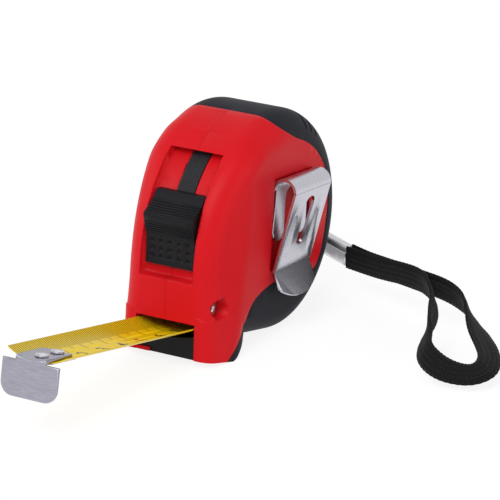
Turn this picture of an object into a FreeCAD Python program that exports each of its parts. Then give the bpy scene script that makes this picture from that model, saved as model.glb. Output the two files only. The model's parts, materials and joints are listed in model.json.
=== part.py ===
import FreeCAD, Part
import math
import os

V = FreeCAD.Vector
PARTS = "parts"

# ------------------------------------------------------------------ driving sizes, mm
# The tape is drawn with its blade level: -Y is the mouth, +X the clip side, +Z up, and the
# origin is the middle of the flat foot. stand() then tips it back onto its heel and belly.
WIDTH = 35.0              # case, side to side
BODY_R = 32.7             # round back of the case
BELLY_Z = 6.1             # its underside, above the flat of the foot
NOSE_Y = -8.7             # foremost line of the front
NOSE_DROP = 7.3           # the same line, below the centre of the round back
NOSE_FLATTER = 8.17       # how much larger the front's radius is than the back's
CHIN_R = 66.0             # front below the nose, then straight down to the foot
CHIN_Z = 21.5
HEEL_Y = 6.2              # back end of the foot, before its rounding
HEEL_R = 4.5
HEEL_RUN = 5.8            # how far the heel slopes back up to the belly
HEEL_HOLLOW_R = 2.5       # where the heel meets the belly
HEEL_KINK = 20.0          # degrees, the heel leaves the flat foot at an angle
FOOT_STEP = 0.03          # the foot stands this far inside the body's faces
FOOT_TOP_Y = 7.0          # the foot's sides run full height up to here, then slope to the heel
EDGE_R = 5.5              # rounding of the case's side edges, round the back
BELLY_EDGE_R = 6.3        # along the belly
FOOT_EDGE_R = 4.5         # at the foot's front corners
CHIN_EDGE_R = 3.6
NOSE_EDGE_R = 7.5
SHOULDER_R = 8.7          # over the top
SHOULDER_TURN = 62.0      # degrees above level, behind: the top's rounding ends here
BACK_TURN = 35.0          # and has come down to EDGE_R here
HEEL_PLAN_Y = 16.0        # the foot's sides curve in towards this line behind
HEEL_PLAN_R = 9.0
CHEEK_Y = 6.2             # the sides taper in ahead of this line
CHEEK_TAPER = 14.5        # degrees
CREASE_R = 14.0           # softness of the crease where the taper begins
WALL = 2.0
GRIP_T = 1.4              # rubber skin
FIT = 0.1                 # clearance of a seated piece
RUN = 0.05                # running clearance of a shaft
GAP = 0.4                 # clearance between moving pieces

MOUTH_W = 19.7
MOUTH_TOP = 10.6
LIP_TOP = 5.5
LIP_BACK = 6.0
LIP_INSET = 0.9
LIP_CUP_R = 32.0
RAMP = [(9.0, LIP_TOP), (11.5, 6.6), (16.8, 8.1)]   # the channel's floor over the belly
TOE_W = 4.6               # low ledge that joins the left cheek to the lip
TOE_H = 1.1

RECESS_W = 17.6           # lock track in the front
RECESS_BELOW = 8.7        # its ends, below and above the nose line
RECESS_ABOVE = 27.7
RECESS_DEPTH = 3.0
GROOVE_DEPTH = 1.1        # for the strip, in the track's floor

BUTTON_W = 16.2
BUTTON_BELOW = 5.4        # its ends, below and above the nose line
BUTTON_ABOVE = 16.1
BUTTON_TOP = [(4.1, 15.9), (3.3, 14.8), (2.8, 13.7), (2.7, 13.3), (1.6, 12.3), (-0.1, 10.8),
              (-1.6, 9.7)]           # back and up from the nose line
BUTTON_FRONT = [(-2.1, 9.0), (-1.6, 7.8), (-0.8, 6.4), (-0.1, 5.0), (0.6, 3.5),
                (1.1, 1.4), (1.5, -0.9), (1.8, -3.3), (2.0, -5.4)]
RIB_R = 0.28
RIBS_ABOVE = (0.0, 4.9)        # first and last distance from the button's crest
RIBS_BELOW = (2.6, 5.6)
RIB_COUNTS = (6, 5)
DIMPLE_R = 0.75
DIMPLE_DEPTH = 0.4
DIMPLE_XS = (-6.0, -3.0, 0.0, 3.0, 6.0)
DIMPLE_ZS = (1.4, -0.9, -3.2)  # from the nose line
STRIP_W = 5.8
STRIP_T = 0.7
STRIP_TAIL = 17.5         # degrees of strip beyond the track
SLOT_W = 4.8
NECK_W = 4.0
NECK_BELOW = 1.5          # the neck, below and above the nose line
NECK_ABOVE = 3.0
LOCK_TRAVEL = 16.0        # degrees
ARM_BACK = 1.67           # between the track's wall and the arm
ARM_T = 1.6
ARM_W = 8.0
PAD_LOW = 9.2
PAD_H = 1.6
LOCK_GAP = 0.35           # under the button and its strip

BLADE_W = 19.0
BLADE_T = 0.3
BLADE_CUP_R = 18.0        # radius of the blade's trough
BLADE_EDGE_Z = 9.2
BLADE_END = -72.6
STRIP_END = 10.0          # where the straight stretch gives way to the lead
COIL_ROOM = 7.2           # from the coil to the case's outside
COIL_DEPTH = 5.1
SPOOL_T = 1.6
SPOOL_DISC_T = 0.8
SPRING_DEPTH = 4.8        # from the coil's bore to the spring's
SPRING_TAIL_T = 0.4
SPRING_TAIL_R = 8.2       # where the tail ends, just off the arbor
POST_R = 3.0
ARBOR_R = 7.6
LINER_T = 0.5
LINER_PROUD = 0.7         # beyond the coil

HOOK_T = 1.0
HOOK_INSET = 0.4          # the upright is narrower than the blade by this at each edge
HOOK_Y = -75.5            # front face of the upright
HOOK_LOW = -3.3
HOOK_RISE = 0.51          # top of the upright over the lowest line of the trough
HOOK_CORNER_R = 4.0
HOOK_EDGE_R = 0.3
HOOK_CROWN_R = 0.75       # outside of the bend
NECK_HOOK_W = 9.6
PLATE_BACK = -59.6
PLATE_CHAMFER = 2.6
RIVET_R = 1.3
RIVET_HEAD_R = 1.9
RIVET_HEAD_H = 0.6
RIVET_BORE_R = 0.8
RIVET_RIM = 0.35          # left of the head round its flared bore
RIVET_YS = (-70.0, -62.2)
HOOK_SLIP = 0.5

SCREW_R = 1.3
SCREW_HEAD_R = 2.5
SCREW_HEAD_H = 1.8
SCREW_LEN = 16.0
SCREW_HOLE_R = 2.75
BOSS_R = 3.0
FRONT_SCREW_BACK = 6.9     # behind the nose line
FRONT_SCREW_Z = 15.9
FRONT_HOLE_R = 2.9
FRONT_BOSS_R = 4.0
FRONT_CORE_R = 2.6        # where the brake arm passes behind the boss
SEAT_X = 10.6
REAR_SCREW_ROOM = 3.1     # from the screw's axis to the case's outside
REAR_SCREW_TURN = 35.0

CLIP_W = 20.5
CLIP_T = 0.8
CLIP_BACK = 0.7           # the roll's middle, behind and above the coil's centre
CLIP_RISE = 11.1
CLIP_TURN = 5.85          # degrees, the roll rises towards the back
CLIP_ROLL_R = 3.6         # to the middle of the sheet
CLIP_DROP = 24.6
CLIP_TOE_GAP = 0.5        # between the fold and the case
CLIP_LIP_TURN = 27.8      # degrees that the lip stands out from upright
CLIP_LIP_LEN = 5.2        # its straight sides
CLIP_LIP_BULGE = 3.4      # and its bowed end
CLIP_SLOT_R = (2.6, 1.8)  # top and bottom of the tapering slot
CLIP_SLOT_Z = (-4.8, -16.2)
RIB_Y = 6.4               # the two pressed ribs beside the slot
RIB_BEND_R = 2.6
RIB_SUNK = 1.9            # the rib's axis, behind the sheet's outer face
RIB_Z = (-2.6, -7.4, -16.6, -21.8)
FORK_DROP = 15.6
FORK_GAP = 7.0
FORK_INSET = 1.0          # the inner plate is this much narrower, each side
FORK_TOE = 0.45           # rounding of its toes, as a share of their width
POCKET_DEPTH = 1.1
POCKET_DROP = 24.0
FINGER_TURNS = (62.0, 69.0, 76.0)   # three short grooves over each rear shoulder
FINGER_R = 0.8
FINGER_DEPTH = 0.7

PIN_R = 1.0               # wrist strap, in the standing frame
PIN_OUT = 5.76            # beyond the case's back
PIN_TURN = -24.36         # degrees from level, about the coil's centre
LUG_H = 3.0
LUG_R = 2.6
LUG_TAIL = 9.0
FERRULE_H = 6.6
FERRULE_T = 4.4
FERRULE_R = 1.9
FERRULE_END = (20.7, -3.8, -4.5)   # from the pin
STRAP_R = 1.2
STRAP_ROUTE = [           # from the pin
    (20.9, -2.6, -4.5), (27.0, -4.0, -4.9), (34.0, -6.1, -4.7), (42.0, -8.7, -3.9),
    (50.0, -11.3, -3.2), (57.0, -13.5, -2.8), (62.8, -15.7, -3.2), (67.4, -19.3, -4.1),
    (70.8, -23.7, -5.4), (74.2, -27.9, -6.7), (78.6, -31.9, -8.0), (83.0, -36.3, -9.4),
    (86.4, -41.3, -10.7), (87.2, -46.7, -11.6), (84.2, -50.5, -12.0), (78.8, -51.7, -11.8),
    (73.6, -50.1, -11.0), (69.4, -46.5, -9.9), (66.6, -41.5, -8.7), (64.6, -35.9, -7.5),
    (62.6, -29.9, -6.1), (60.0, -23.9, -4.8), (56.2, -19.1, -3.8), (50.6, -15.9, -3.4),
    (43.6, -12.9, -3.8), (36.0, -9.9, -4.5), (28.0, -7.0, -4.8), (20.7, -5.1, -4.5)]

# Where rubber meets plastic, seen from the side: from the top, along the upper back, down
# the rear rim, forward under the clip and down the heel. Shares of the back's radius, from
# its centre.
GRIP_LINE = [
    (-0.297, 1.061), (-0.294, 0.905), (-0.180, 0.832), (-0.058, 0.780), (0.138, 0.728),
    (0.370, 0.633), (0.547, 0.495), (0.664, 0.312), (0.713, 0.098), (0.709, -0.177),
    (0.651, -0.404), (0.517, -0.532), (0.291, -0.557), (0.046, -0.529), (-0.156, -0.538),
    (-0.327, -0.593), (-0.474, -0.679), (-0.560, -0.807), (-0.627, -0.960), (-0.719, -1.107),
    (-0.823, -1.232)]


# ------------------------------------------------------------------ worked-out sizes
HALF_W = WIDTH / 2
BODY_Z = BELLY_Z + BODY_R
NOSE_Z = BODY_Z - NOSE_DROP
NOSE_R = BODY_R + NOSE_FLATTER
NOSE_CY = NOSE_Y + NOSE_R
BODY_Y = NOSE_CY - math.sqrt(NOSE_FLATTER ** 2 - NOSE_DROP ** 2)
CHIN_TURN = math.asin((NOSE_Z - CHIN_Z) / CHIN_R)
CHIN_Y = NOSE_Y + CHIN_R * (1 - math.cos(CHIN_TURN))
FLOOR_R = NOSE_R - RECESS_DEPTH
RECESS_LOW = NOSE_Z - RECESS_BELOW
RECESS_HIGH = NOSE_Z + RECESS_ABOVE
BUTTON_LOW = NOSE_Z - BUTTON_BELOW
BUTTON_HIGH = NOSE_Z + BUTTON_ABOVE
NECK_LOW = NOSE_Z - NECK_BELOW
NECK_HIGH = NOSE_Z + NECK_ABOVE
ARM_R_OUT = FLOOR_R - WALL - ARM_BACK
COIL_R = BODY_R - COIL_ROOM
COIL_BORE = COIL_R - COIL_DEPTH
SPRING_BORE = COIL_BORE - SPRING_DEPTH
LINER_R = COIL_R + LINER_PROUD
REAR_SCREW_R = BODY_R - REAR_SCREW_ROOM
CLIP_Y = BODY_Y + CLIP_BACK
CLIP_Z = BODY_Z + CLIP_RISE
CUP_Z = BLADE_EDGE_Z + math.sqrt(BLADE_CUP_R ** 2 - (BLADE_W / 2) ** 2)
HOOK_W = BLADE_W - 2 * HOOK_INSET
HOOK_HIGH = CUP_Z - BLADE_CUP_R + HOOK_RISE
BLADE_LOW_Z = CUP_Z - BLADE_CUP_R
HEEL_SLOPE = math.atan2(BELLY_Z, HEEL_RUN)
HEEL_CY = HEEL_Y - HEEL_R * math.tan(HEEL_SLOPE / 2)
REST_TILT = math.atan2(BODY_Z - HEEL_R, BODY_Y - HEEL_CY) - math.asin(
    (BODY_R - HEEL_R) / math.hypot(BODY_Z - HEEL_R, BODY_Y - HEEL_CY))
CENTRE_TURN = math.atan2(BODY_Z, BODY_Y) - REST_TILT
PIN_POS = (0.0,
           math.hypot(BODY_Y, BODY_Z) * math.cos(CENTRE_TURN)
           + (BODY_R + PIN_OUT) * math.cos(math.radians(PIN_TURN)),
           math.hypot(BODY_Y, BODY_Z) * math.sin(CENTRE_TURN)
           + (BODY_R + PIN_OUT) * math.sin(math.radians(PIN_TURN)))


def chin_y(z, inset=0.0):
    """The front's Y at height z below the nose, moved inwards by inset."""
    return CHIN_Y + (CHIN_Z - z) * math.tan(CHIN_TURN) + inset / math.cos(CHIN_TURN)


def stand(shape):
    """Tip a piece back about the middle of the foot, onto heel and belly."""
    shape.rotate(V(0, 0, 0), V(1, 0, 0), -math.degrees(REST_TILT))
    return shape


def save(name, shape):
    shape.exportStep(os.path.join(PARTS, name + ".step"))


def yz(y, z, x=0.0):
    return V(x, y, z)


def box(x0, x1, y0, y1, z0, z1):
    return Part.makeBox(x1 - x0, y1 - y0, z1 - z0, V(x0, y0, z0))


def rod(r, x0, x1, y, z):
    """A round bar along X."""
    return Part.makeCylinder(r, x1 - x0, V(x0, y, z), V(1, 0, 0))


def tube(r_out, r_in, x0, x1, y, z):
    return rod(r_out, x0, x1, y, z).cut(rod(r_in, x0 - 1, x1 + 1, y, z))


def prism(edges, x0, x1):
    """A closed outline in the YZ plane, drawn out from x0 to x1."""
    face = Part.Face(Part.Wire(edges))
    face.translate(V(x0, 0, 0))
    return face.extrude(V(x1 - x0, 0, 0))


def polygon(points):
    return Part.makePolygon([yz(y, z) for y, z in points + points[:1]]).Edges


def arc(centre, r, a0, a1):
    """An arc in the YZ plane, in degrees from +Y, as an edge."""
    cy, cz = centre
    ends = [math.radians(a) for a in (a0, (a0 + a1) / 2, a1)]
    return Part.Arc(*[yz(cy + r * math.cos(a), cz + r * math.sin(a)) for a in ends]).toShape()


def line(p, q):
    return Part.LineSegment(yz(*p), yz(*q)).toShape()


# ------------------------------------------------------------------ the case's outer form
def rounded(solid, plan):
    """Round edges by (edge number, radius at its start, radius at its end)."""
    doc = FreeCAD.newDocument("form")
    base = doc.addObject("Part::Feature", "base")
    base.Shape = solid
    fillet = doc.addObject("Part::Fillet", "fillet")
    fillet.Base = base
    fillet.Edges = plan
    doc.recompute()
    shape = fillet.Shape.copy()
    FreeCAD.closeDocument(doc.Name)
    return shape


def cheeks(inset):
    """The case's plan as a block: parallel sides, tapering in towards the front."""
    half = HALF_W - inset
    taper = math.radians(CHEEK_TAPER)
    crease = CHEEK_Y + inset * math.tan(taper / 2)
    far_y = BODY_Y + BODY_R + 10.0
    near_y = NOSE_Y - 5.0
    near_x = half - (crease - near_y) * math.tan(taper)
    right = [(near_x, near_y), (half, crease), (half, far_y)]
    left = [(-x, y) for x, y in reversed(right)]
    plan = [V(x, y, -2.0) for x, y in right + left]
    block = Part.Face(Part.makePolygon(plan + plan[:1])).extrude(V(0, 0, BODY_Z + BODY_R + 4.0))
    creases = [e for e in block.Edges if e.BoundBox.ZLength > 1.0
               and abs(e.BoundBox.YMin - crease) < 1e-6]
    return block.makeFillet(CREASE_R - inset, creases)


def on_one_side(edge):
    box_ = edge.BoundBox
    return box_.XMin * box_.XMax > 0 and box_.YLength > 1e-3


def edge_radius(p):
    """The case's edge rounding at a point: it grows from the foot up to the top, then falls."""
    if p.z > BODY_Z + BODY_R * math.sin(math.radians(SHOULDER_TURN)) - WALL:
        return SHOULDER_R
    if p.z > CHIN_Z + WALL and p.y < BODY_Y:
        return NOSE_EDGE_R
    if p.y < 0:
        return FOOT_EDGE_R + (CHIN_EDGE_R - FOOT_EDGE_R) * p.z / CHIN_Z
    return EDGE_R if p.z > BELLY_Z + WALL else BELLY_EDGE_R


def body_prism(inset):
    """Nose, round back and belly as one tangent outline, without the foot."""
    low = BELLY_Z + inset
    front = (chin_y(low, inset), low)
    top_turn = math.degrees(math.atan2(NOSE_DROP, BODY_Y - NOSE_CY))
    chin = arc((NOSE_Y + CHIN_R, NOSE_Z), CHIN_R - inset, 180 + math.degrees(CHIN_TURN), 180)
    nose = arc((NOSE_CY, NOSE_Z), NOSE_R - inset, 180, top_turn)
    turns = (top_turn, SHOULDER_TURN, BACK_TURN, -90)
    back = [arc((BODY_Y, BODY_Z), BODY_R - inset, *ends) for ends in zip(turns, turns[1:])]
    chin_mid = (chin.Vertexes[0].Y, chin.Vertexes[0].Z)
    edges = [line(front, chin_mid), chin, nose] + back + [line((BODY_Y, low), front)]
    half = HALF_W - inset
    solid = prism(edges, -half, half).common(cheeks(inset))
    plan = []
    for number, edge in enumerate(solid.Edges, 1):
        if not on_one_side(edge):
            continue
        start, end = [edge_radius(v.Point) - inset for v in (edge.Vertexes[0], edge.Vertexes[-1])]
        if edge.BoundBox.ZMax < low + 1e-3:
            start = end = BELLY_EDGE_R - inset
        plan.append((number, start, end))
    return rounded(solid, plan)


def foot_outline(inset):
    """Foot and sloping heel, seen from the side."""
    low = inset
    belly = BELLY_Z + inset
    high = BELLY_Z + BELLY_EDGE_R
    half_tan = math.tan(HEEL_SLOPE / 2)
    kink = math.radians(HEEL_KINK)
    turn = HEEL_R - inset
    hollow = HEEL_HOLLOW_R + inset
    heel_y = HEEL_Y - inset * half_tan
    top_y = heel_y + (belly - low) / math.tan(HEEL_SLOPE)
    turn_z = low + turn * math.cos(kink)
    turn_y = heel_y - (turn - (turn_z - low) * math.cos(HEEL_SLOPE)) / math.sin(HEEL_SLOPE)
    flat_end = (turn_y + turn * math.sin(kink), low)
    rise = (turn_y + turn * math.sin(HEEL_SLOPE), turn_z - turn * math.cos(HEEL_SLOPE))
    dip = (top_y - hollow * half_tan * math.cos(HEEL_SLOPE),
           belly - hollow * half_tan * math.sin(HEEL_SLOPE))
    dip_end = (top_y + hollow * half_tan, belly)
    front = (chin_y(low, inset), low)
    above = (chin_y(high, inset), high)
    slope = math.degrees(HEEL_SLOPE)
    return [line(front, flat_end),
            arc((turn_y, turn_z), turn, HEEL_KINK - 90, slope - 90),
            line(rise, dip),
            arc((dip_end[0], belly - hollow), hollow, slope + 90, 90),
            line(dip_end, (FOOT_TOP_Y, high)),
            line((FOOT_TOP_Y, high), above),
            line(above, front)]


def foot_prism(inset):
    """The foot under the mouth: front corners rounded as the body's are, sides closing behind."""
    half = HALF_W - inset
    plan = box(-half, half, NOSE_Y - 5.0, HEEL_PLAN_Y - inset, -2.0, BODY_Z)
    plan = plan.makeFillet(HEEL_PLAN_R - inset, [e for e in plan.Edges if e.BoundBox.ZLength > 1.0
                                                 and e.BoundBox.YMin > 0])
    solid = prism(foot_outline(inset), -half, half).common(cheeks(inset)).common(plan)
    uprights = [(number, *[edge_radius(v.Point) - inset for v in (e.Vertexes[0], e.Vertexes[-1])])
                for number, e in enumerate(solid.Edges, 1)
                if on_one_side(e) and e.BoundBox.ZLength > 3.0 and e.BoundBox.YMax < 0]
    return rounded(solid, uprights)


def outer_form(inset, with_foot=True):
    solid = body_prism(inset)
    if with_foot:
        foot = foot_prism(inset + FOOT_STEP)
        foot.translate(V(0, 0, -FOOT_STEP))
        solid = solid.fuse(foot)
    return solid


def finger_grooves():
    """Short grooves laid across the rounding of each rear shoulder."""
    reach = SHOULDER_R + FINGER_R - FINGER_DEPTH
    bars = []
    for turn in FINGER_TURNS:
        out = V(0, math.cos(math.radians(turn)), math.sin(math.radians(turn)))
        for side in (1, -1):
            centre = V(side * (HALF_W - SHOULDER_R), BODY_Y, BODY_Z) + out * (BODY_R - SHOULDER_R)
            diagonal = (V(side, 0, 0) + out).normalize()
            along = (V(side, 0, 0) - out).normalize()
            bars.append(Part.makeCylinder(FINGER_R, 2 * EDGE_R,
                                          centre + diagonal * reach - along * EDGE_R, along))
    return Part.makeCompound(bars)


def grip_region():
    """Everything above, behind and below the wavy line, through the whole width."""
    curve = Part.BSplineCurve()
    points = [(BODY_Y + a * BODY_R, BODY_Z + b * BODY_R) for a, b in GRIP_LINE]
    curve.interpolate([yz(y, z) for y, z in points])
    far_y = BODY_Y + BODY_R + 10.0
    (y0, z0), (y1, z1) = points[0], points[-1]
    edges = [curve.toShape(), line((y1, z1), (far_y, z1)), line((far_y, z1), (far_y, z0)),
             line((far_y, z0), (y0, z0))]
    return prism(edges, -HALF_W - 1.0, HALF_W + 1.0)


# ------------------------------------------------------------------ cuts in the case
def blade_channel():
    """The mouth: level over the lip, then a ramp up over the belly wall."""
    front = NOSE_Y - 5.0
    points = [(front, LIP_TOP)] + RAMP + [(RAMP[-1][0], MOUTH_TOP), (front, MOUTH_TOP)]
    return prism(polygon(points), -MOUTH_W / 2, MOUTH_W / 2)


def lip_seat():
    return box(-MOUTH_W / 2, MOUTH_W / 2, NOSE_Y - 5.0, LIP_BACK, -1.0, LIP_TOP + FIT)


def track_ring(r_in, r_out, half, z_low, z_high):
    """A slice of the track's ring about the nose's centre, between two heights."""
    ring = tube(r_out, r_in, -half, half, NOSE_CY, NOSE_Z)
    return ring.common(box(-half, half, NOSE_CY - r_out - 1.0, NOSE_CY, z_low, z_high))


def angle_at(z, r):
    """Degrees round the nose's centre from the level line, at height z and radius r."""
    return math.degrees(math.asin((z - NOSE_Z) / r))


def track_slice(r_in, r_out, half, a_low, a_high):
    """The same ring between two angles above the level line."""
    edges = [arc((NOSE_CY, NOSE_Z), r_out, 180 - a_low, 180 - a_high),
             line(polar(r_out, a_high), polar(r_in, a_high)),
             arc((NOSE_CY, NOSE_Z), r_in, 180 - a_high, 180 - a_low),
             line(polar(r_in, a_low), polar(r_out, a_low))]
    return prism(edges, -half, half)


def polar(r, a):
    a = math.radians(a)
    return (NOSE_CY - r * math.cos(a), NOSE_Z + r * math.sin(a))


def lock_cuts():
    """Track, its central slot, and the strip's groove, which runs on under the nose."""
    half = RECESS_W / 2
    track = track_ring(FLOOR_R, NOSE_R + 5.0, half, RECESS_LOW, RECESS_HIGH)
    low = angle_at(NECK_LOW, FLOOR_R) - 1.5
    high = angle_at(NECK_HIGH, FLOOR_R) + LOCK_TRAVEL + 1.5
    slot = track_slice(FLOOR_R - WALL - 2.0, FLOOR_R + 0.5, SLOT_W / 2, low, high)
    top = angle_at(RECESS_HIGH, FLOOR_R)
    groove = track_slice(FLOOR_R - GROOVE_DEPTH, FLOOR_R + LOCK_GAP, STRIP_W / 2 + GAP,
                         angle_at(BUTTON_LOW, FLOOR_R), top + STRIP_TAIL + 1.0)
    return track.fuse(slot).fuse(groove)


def front_screw():
    return NOSE_Y + FRONT_SCREW_BACK, FRONT_SCREW_Z


def rear_screws():
    turn = math.radians(REAR_SCREW_TURN)
    return [(BODY_Y + REAR_SCREW_R * math.cos(turn), BODY_Z + s * REAR_SCREW_R * math.sin(turn))
            for s in (1, -1)]


def clip_place(shape):
    """From the clip's own upright frame to its tilted place on the case's side."""
    shape.rotate(V(0, 0, 0), V(1, 0, 0), CLIP_TURN)
    shape.translate(V(0, CLIP_Y, CLIP_Z))
    return shape


def clip_pocket():
    half = CLIP_W / 2 + 0.4
    return clip_place(box(HALF_W - POCKET_DEPTH, HALF_W + 1.0, -half, half,
                          -POCKET_DROP, CLIP_ROLL_R))


# ------------------------------------------------------------------ the two case halves
def case_halves():
    """(right, left): each is wall, bosses, ribs and the solid foot, less what goes in it."""
    shell = outer_form(0.0).cut(outer_form(WALL, with_foot=False))
    recess_back = track_ring(FLOOR_R - WALL, FLOOR_R, RECESS_W / 2 + WALL,
                             RECESS_LOW - WALL, RECESS_HIGH + WALL)
    ledge = track_ring(FLOOR_R - WALL, NOSE_R - WALL / 2, RECESS_W / 2 + WALL,
                       RECESS_LOW - WALL, RECESS_HIGH + WALL)
    shell = shell.fuse(ledge.fuse(recess_back).common(outer_form(WALL / 2)))
    side = HALF_W - WALL / 2
    core = ARM_W / 2 + GAP
    bosses = [(BOSS_R, -side, side, *at) for at in rear_screws()]
    bosses += [(FRONT_BOSS_R, x0, x1, *front_screw()) for x0, x1 in ((-side, -core), (core, side))]
    bosses.append((FRONT_CORE_R, -core, core, *front_screw()))
    within = outer_form(WALL / 2)
    for boss in bosses:
        shell = shell.fuse(rod(*boss).common(within))
    liner_x = BLADE_W / 2 + GAP + LINER_T + FIT
    for x0, x1 in ((liner_x, HALF_W - WALL / 2), (-HALF_W + WALL / 2, -liner_x)):
        shell = shell.fuse(tube(COIL_R, COIL_R - WALL, x0, x1, BODY_Y, BODY_Z))
    shell = shell.fuse(tube(POST_R + WALL, POST_R, liner_x, HALF_W - WALL / 2, BODY_Y, BODY_Z))
    shell = shell.fuse(tube(POST_R + WALL, POST_R, -HALF_W + WALL / 2, -liner_x, BODY_Y, BODY_Z))
    shell = shell.cut(blade_channel()).cut(lip_seat()).cut(lock_cuts())
    front_y, front_z = front_screw()
    shell = shell.cut(rod(SCREW_R, SEAT_X - SCREW_LEN - 1.0, HALF_W, front_y, front_z))
    shell = shell.cut(rod(FRONT_HOLE_R, SEAT_X, HALF_W + 1.0, front_y, front_z))
    for y, z in rear_screws():
        shell = shell.cut(rod(SCREW_R, -SEAT_X, SCREW_LEN - SEAT_X + 1.0, y, z))
        shell = shell.cut(rod(SCREW_HOLE_R, -HALF_W - 1.0, -SEAT_X, y, z))
    shell = shell.cut(grip_form())
    right = shell.common(box(0.0, WIDTH, -50.0, 100.0, -10.0, 100.0)).cut(clip_pocket())
    left = shell.common(box(-WIDTH, 0.0, -50.0, 100.0, -10.0, 100.0))
    return right, left.fuse(left_toe())


def left_toe():
    """A low ledge on the left cheek, in front of the lip."""
    front = chin_y(0.0) + 0.3
    back = front + LIP_INSET - 0.5
    ledge = box(-MOUTH_W / 2 - 0.5, -MOUTH_W / 2 + TOE_W, front, back, 0.0, TOE_H)
    return ledge.common(foot_prism(0.0))


def grip_form():
    return outer_form(0.0).cut(outer_form(GRIP_T)).common(grip_region())


def grips():
    """(right, left) rubber skins, with holes over the rear screws on the left."""
    whole = grip_form()
    for y, z in rear_screws():
        whole = whole.cut(rod(SCREW_HOLE_R, -HALF_W - 1.0, -SEAT_X, y, z))
    whole = whole.cut(lip_seat()).cut(blade_channel()).cut(finger_grooves())
    right = whole.common(box(0.0, WIDTH, -50.0, 100.0, -10.0, 100.0)).cut(clip_pocket())
    left = whole.common(box(-WIDTH, 0.0, -50.0, 100.0, -10.0, 100.0))
    return right, left


def mouth_lip():
    """The black block under the blade, between the cheeks, hollowed to the blade's form."""
    half = MOUTH_W / 2 - FIT
    high = LIP_TOP + LIP_CUP_R - math.sqrt(LIP_CUP_R ** 2 - half ** 2)
    points = [(chin_y(0.0, LIP_INSET), 0.0), (LIP_BACK - FIT, 0.0), (LIP_BACK - FIT, high),
              (chin_y(high, LIP_INSET), high)]
    cup = Part.makeCylinder(LIP_CUP_R, 40.0, V(0, -20.0, LIP_TOP + LIP_CUP_R), V(0, 1, 0))
    return prism(polygon(points), -half, half).common(foot_prism(0.0)).cut(cup)


# ------------------------------------------------------------------ lock
def from_nose(p):
    """A point of the button's side profile, given from the nose line."""
    return yz(NOSE_Y + p[0], NOSE_Z + p[1])


def button_ribs():
    """Fine thumb ribs across the slopes above and below the button's nose."""
    ribs = []
    for (first, last), count, points, way in ((RIBS_ABOVE, RIB_COUNTS[0], BUTTON_TOP[3:], -1),
                                              (RIBS_BELOW, RIB_COUNTS[1], BUTTON_FRONT, 1)):
        curve = Part.BSplineCurve()
        curve.interpolate([from_nose(p) for p in points[::way]])
        for i in range(count):
            at = curve.value(curve.parameterAtDistance(first + (last - first) * i / (count - 1)))
            ribs.append(rod(RIB_R, -BUTTON_W / 2, BUTTON_W / 2, at.y, at.z))
    return ribs


def button_dimples():
    curve = Part.BSplineCurve()
    curve.interpolate([from_nose(p) for p in BUTTON_FRONT])
    balls = []
    lift = math.sqrt(DIMPLE_R ** 2 - (DIMPLE_R - DIMPLE_DEPTH) ** 2)
    ball_r = (lift ** 2 + DIMPLE_DEPTH ** 2) / (2 * DIMPLE_DEPTH)
    for rise in DIMPLE_ZS:
        level = Part.LineSegment(from_nose((-5.0, rise)), from_nose((5.0, rise)))
        at = curve.intersectCC(level)[0]
        for x in DIMPLE_XS:
            balls.append(Part.makeSphere(ball_r, V(x, at.Y - ball_r + DIMPLE_DEPTH, NOSE_Z + rise)))
    return Part.makeCompound(balls)


def lock_button():
    """Thumb button: a hooked nose between a ribbed slope above and a dimpled face below."""
    base = FLOOR_R + LOCK_GAP
    low_a = angle_at(BUTTON_LOW, base)
    high_a = angle_at(BUTTON_HIGH, base)
    top = Part.makePolygon([from_nose(p) for p in BUTTON_TOP + BUTTON_FRONT[:1]]).Edges
    front = Part.BSplineCurve()
    front.interpolate([from_nose(p) for p in BUTTON_FRONT])
    first, last = from_nose(BUTTON_TOP[0]), from_nose(BUTTON_FRONT[-1])
    edges = top + [front.toShape(), line((last.y, last.z), polar(base, low_a)),
                   arc((NOSE_CY, NOSE_Z), base, 180 - low_a, 180 - high_a),
                   line(polar(base, high_a), (first.y, first.z))]
    body = prism(edges, -BUTTON_W / 2, BUTTON_W / 2).fuse(button_ribs()).cut(button_dimples())
    neck = track_slice(ARM_R_OUT - 0.5, base + 0.5, NECK_W / 2,
                       angle_at(NECK_LOW, FLOOR_R), angle_at(NECK_HIGH, FLOOR_R))
    top_a = angle_at(BUTTON_HIGH, FLOOR_R)
    key = track_slice(FLOOR_R - LOCK_GAP, base + 0.5, STRIP_W / 2, top_a - 8.0, top_a - 1.5)
    return body.fuse([neck, key]).cut(lock_strip()).cut(brake_arm()).removeSplitter()


def lock_strip():
    top = angle_at(BUTTON_HIGH, FLOOR_R)
    tail = angle_at(RECESS_HIGH, FLOOR_R) + STRIP_TAIL - LOCK_TRAVEL
    base = FLOOR_R - GROOVE_DEPTH + LOCK_GAP
    return track_slice(base, base + STRIP_T, STRIP_W / 2, top - 8.0, tail)


def brake_arm():
    low = angle_at(PAD_LOW + PAD_H, ARM_R_OUT)
    return track_slice(ARM_R_OUT - ARM_T, ARM_R_OUT, ARM_W / 2, low,
                       angle_at(NECK_HIGH, FLOOR_R))


def brake_pad():
    low = angle_at(PAD_LOW + PAD_H, ARM_R_OUT)
    drop = math.degrees(PAD_H / ARM_R_OUT)
    return track_slice(ARM_R_OUT - ARM_T, ARM_R_OUT, ARM_W / 2, low - drop, low)


# ------------------------------------------------------------------ blade, coil and spring
def cup_section(y, r_out, r_in, half, cup_z=CUP_Z):
    """The blade's curved section as a wire in the plane at y."""
    def point(r, x):
        return V(x, y, cup_z - math.sqrt(r ** 2 - x ** 2))
    low = Part.Arc(point(r_out, -half), point(r_out, 0.0), point(r_out, half)).toShape()
    high = Part.Arc(point(r_in, half), point(r_in, 0.0), point(r_in, -half)).toShape()
    return Part.Wire([low, Part.LineSegment(point(r_out, half), point(r_in, half)).toShape(),
                      high, Part.LineSegment(point(r_in, -half), point(r_out, -half)).toShape()])


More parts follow.
